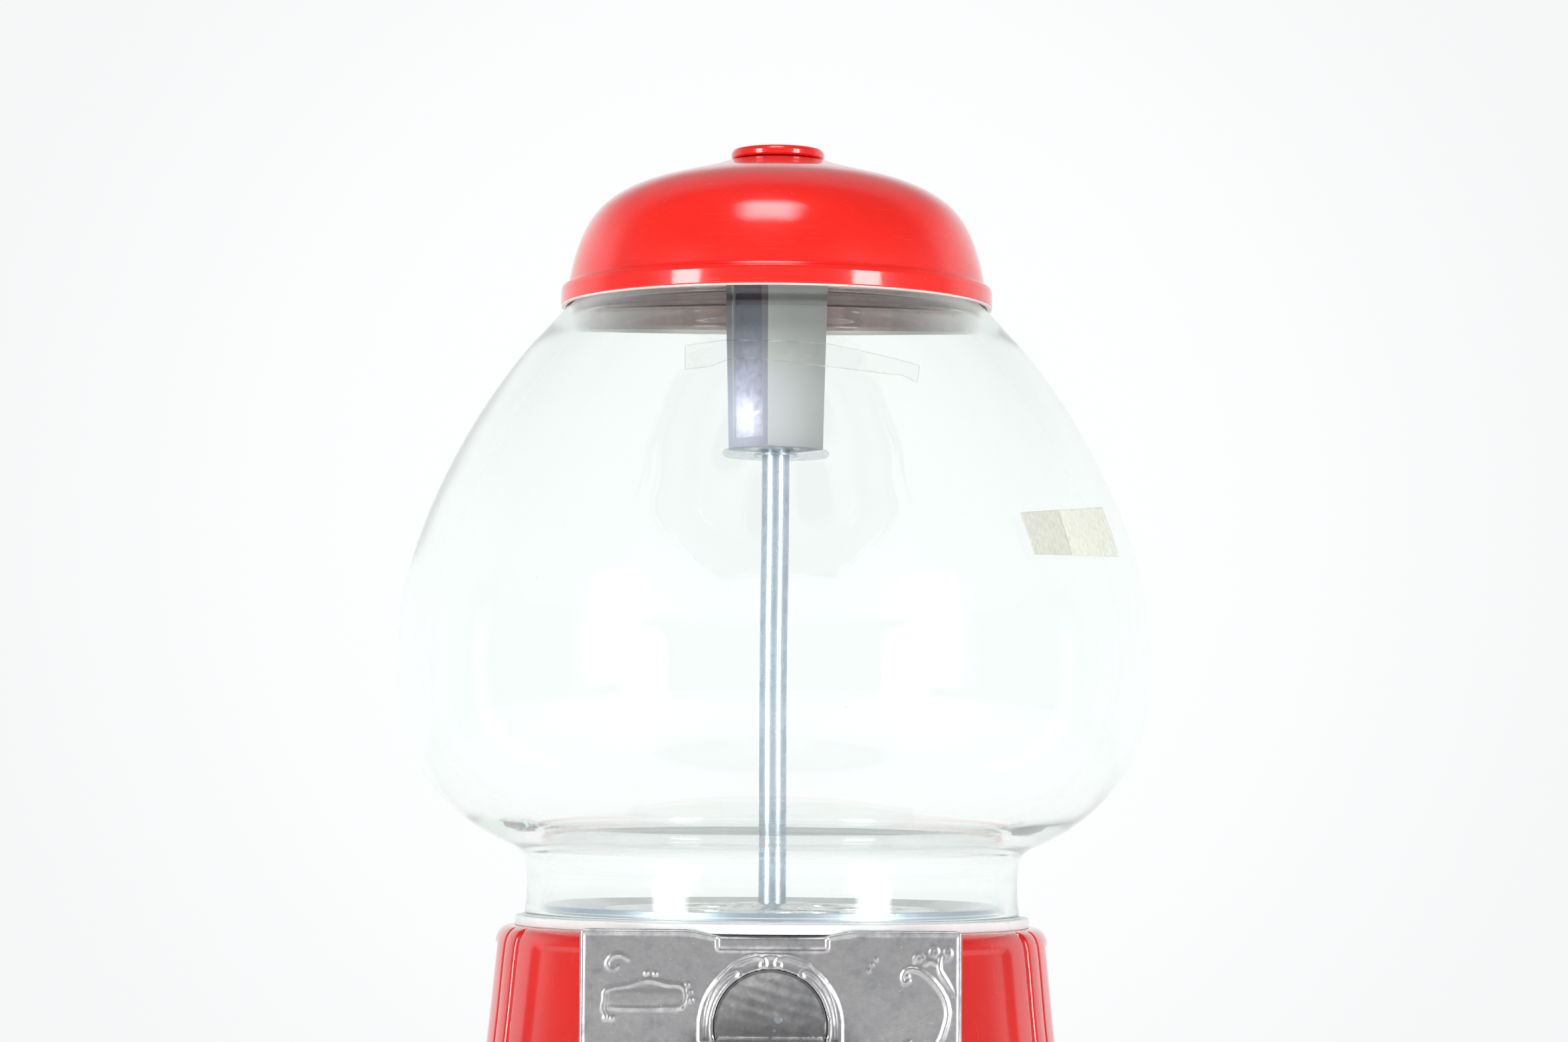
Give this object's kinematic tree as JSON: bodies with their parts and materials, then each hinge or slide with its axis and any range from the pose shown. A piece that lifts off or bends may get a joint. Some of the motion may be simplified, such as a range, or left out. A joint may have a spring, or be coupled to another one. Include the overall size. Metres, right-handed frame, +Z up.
{
  "type": "capsule toy vendor",
  "caption": "Countertop coin vendor: glass globe on a centre rod, domed red lid with lamp, fluted cast body, die-cast front plate with coin handle, dispensing wheel, chute and base.",
  "frame": {"origin": "bottom centre of the feet, on the centre rod's axis", "axes": "+Z up along the centre rod, -Y out of the front plate, +X to the right seen from the front"},
  "size_m": [0.2158, 0.2158, 0.3815],
  "materials": {
    "red_enamel": "gloss red enamel over castings and pressed steel",
    "globe_glass": "clear blown glass, faint grey-green in the edge",
    "die_cast_zinc": "polished die-cast zinc, mottled",
    "plated_steel": "bright zinc plated steel",
    "door_steel": "bright pressed steel",
    "white_plastic": "translucent white moulding",
    "grey_plastic": "mid grey moulding",
    "brass": "turned brass",
    "black_rubber": "black rubber",
    "black_plastic": "black moulding and lead insulation",
    "cell_jacket": "plain printed jacket, no lettering",
    "lamp_lens": "clear cool white lamp lens",
    "circuit_board": "green laminate"
  },
  "bodies": {
    "base": {"base_casting": "red_enamel", "rubber_feet": "black_rubber", "foot_screws": "plated_steel", "base_washer": "plated_steel", "centre_rod": "plated_steel", "lamp_housing": "grey_plastic", "lamp_flange": "white_plastic", "lamp_push_clip": "plated_steel", "lamp_led": "lamp_lens", "lamp_board": "circuit_board", "lamp_terminal": "brass", "lamp_leads": "black_plastic", "battery_box": "grey_plastic", "batteries": "cell_jacket", "battery_contacts": "plated_steel", "battery_springs": "plated_steel", "switch_body": "black_plastic", "base_leads": "black_plastic"},
    "rod_nut": {"base_nut": "plated_steel"},
    "body": {"body_shell": "red_enamel", "front_plate": "die_cast_zinc", "plate_nuts": "plated_steel", "mech_housing": "die_cast_zinc", "mech_screws": "plated_steel", "shaft_bushing": "brass", "pawl_pin": "plated_steel", "pawl_spring": "plated_steel", "hopper": "white_plastic", "wheel_washer": "brass", "chute": "grey_plastic", "door_pin": "plated_steel"},
    "globe": {"globe": "globe_glass", "globe_gasket": "black_rubber"},
    "lid": {"lid": "red_enamel", "lid_seal": "black_rubber"},
    "knob": {"lid_knob": "red_enamel", "lid_insert": "brass"},
    "handle": {"coin_handle": "die_cast_zinc", "coin_rotor": "die_cast_zinc", "handle_shaft": "plated_steel", "ratchet_wheel": "die_cast_zinc", "drive_pinion": "die_cast_zinc", "shaft_clip": "plated_steel"},
    "wheel": {"dispensing_wheel": "die_cast_zinc"},
    "pawl": {"pawl": "die_cast_zinc"},
    "door": {"chute_door": "door_steel"},
    "battery_cover": {"battery_cover": "grey_plastic"},
    "switch": {"switch_slider": "black_plastic"}
  },
  "joints": [
    {"name": "body_lift", "type": "slide", "parent": "base", "child": "body", "axis": [0, 0, 1], "range_m": [0, 0.08]},
    {"name": "globe_lift", "type": "slide", "parent": "body", "child": "globe", "axis": [0, 0, 1], "range_m": [0, 0.12]},
    {"name": "lid_lift", "type": "slide", "parent": "globe", "child": "lid", "axis": [0, 0, 1], "range_m": [0, 0.06]},
    {"name": "knob_turn", "type": "hinge", "parent": "lid", "child": "knob", "pos_m": [0, 0, 0.378], "axis": [0, 0, 1], "continuous": true},
    {"name": "nut_turn", "type": "hinge", "parent": "base", "child": "rod_nut", "pos_m": [0, 0, 0.0045], "axis": [0, 0, 1], "continuous": true},
    {"name": "handle_turn", "type": "hinge", "parent": "body", "child": "handle", "pos_m": [0, -0.07, 0.1325], "axis": [0, 1, 0], "continuous": true},
    {"name": "wheel_turn", "type": "hinge", "parent": "body", "child": "wheel", "pos_m": [0, 0, 0.15], "axis": [0, 0, 1], "continuous": true},
    {"name": "pawl_rock", "type": "hinge", "parent": "body", "child": "pawl", "pos_m": [0.0155, -0.0625, 0.1455], "axis": [0, 1, 0], "range_deg": [0, 18], "stiffness_Nm_per_rad": 0.002},
    {"name": "door_swing", "type": "hinge", "parent": "body", "child": "door", "pos_m": [0, -0.0762, 0.084], "axis": [-1, 0, 0], "range_deg": [0, 70]},
    {"name": "battery_cover_lift", "type": "slide", "parent": "base", "child": "battery_cover", "axis": [0, 0, 1], "range_m": [0, 0.018]},
    {"name": "switch_slide", "type": "slide", "parent": "base", "child": "switch", "axis": [1, 0, 0], "range_m": [0, 0.004]}
  ],
  "couplings": [
    {"joint": "wheel_turn", "follows": "handle_turn", "ratio": 0.2}
  ]
}
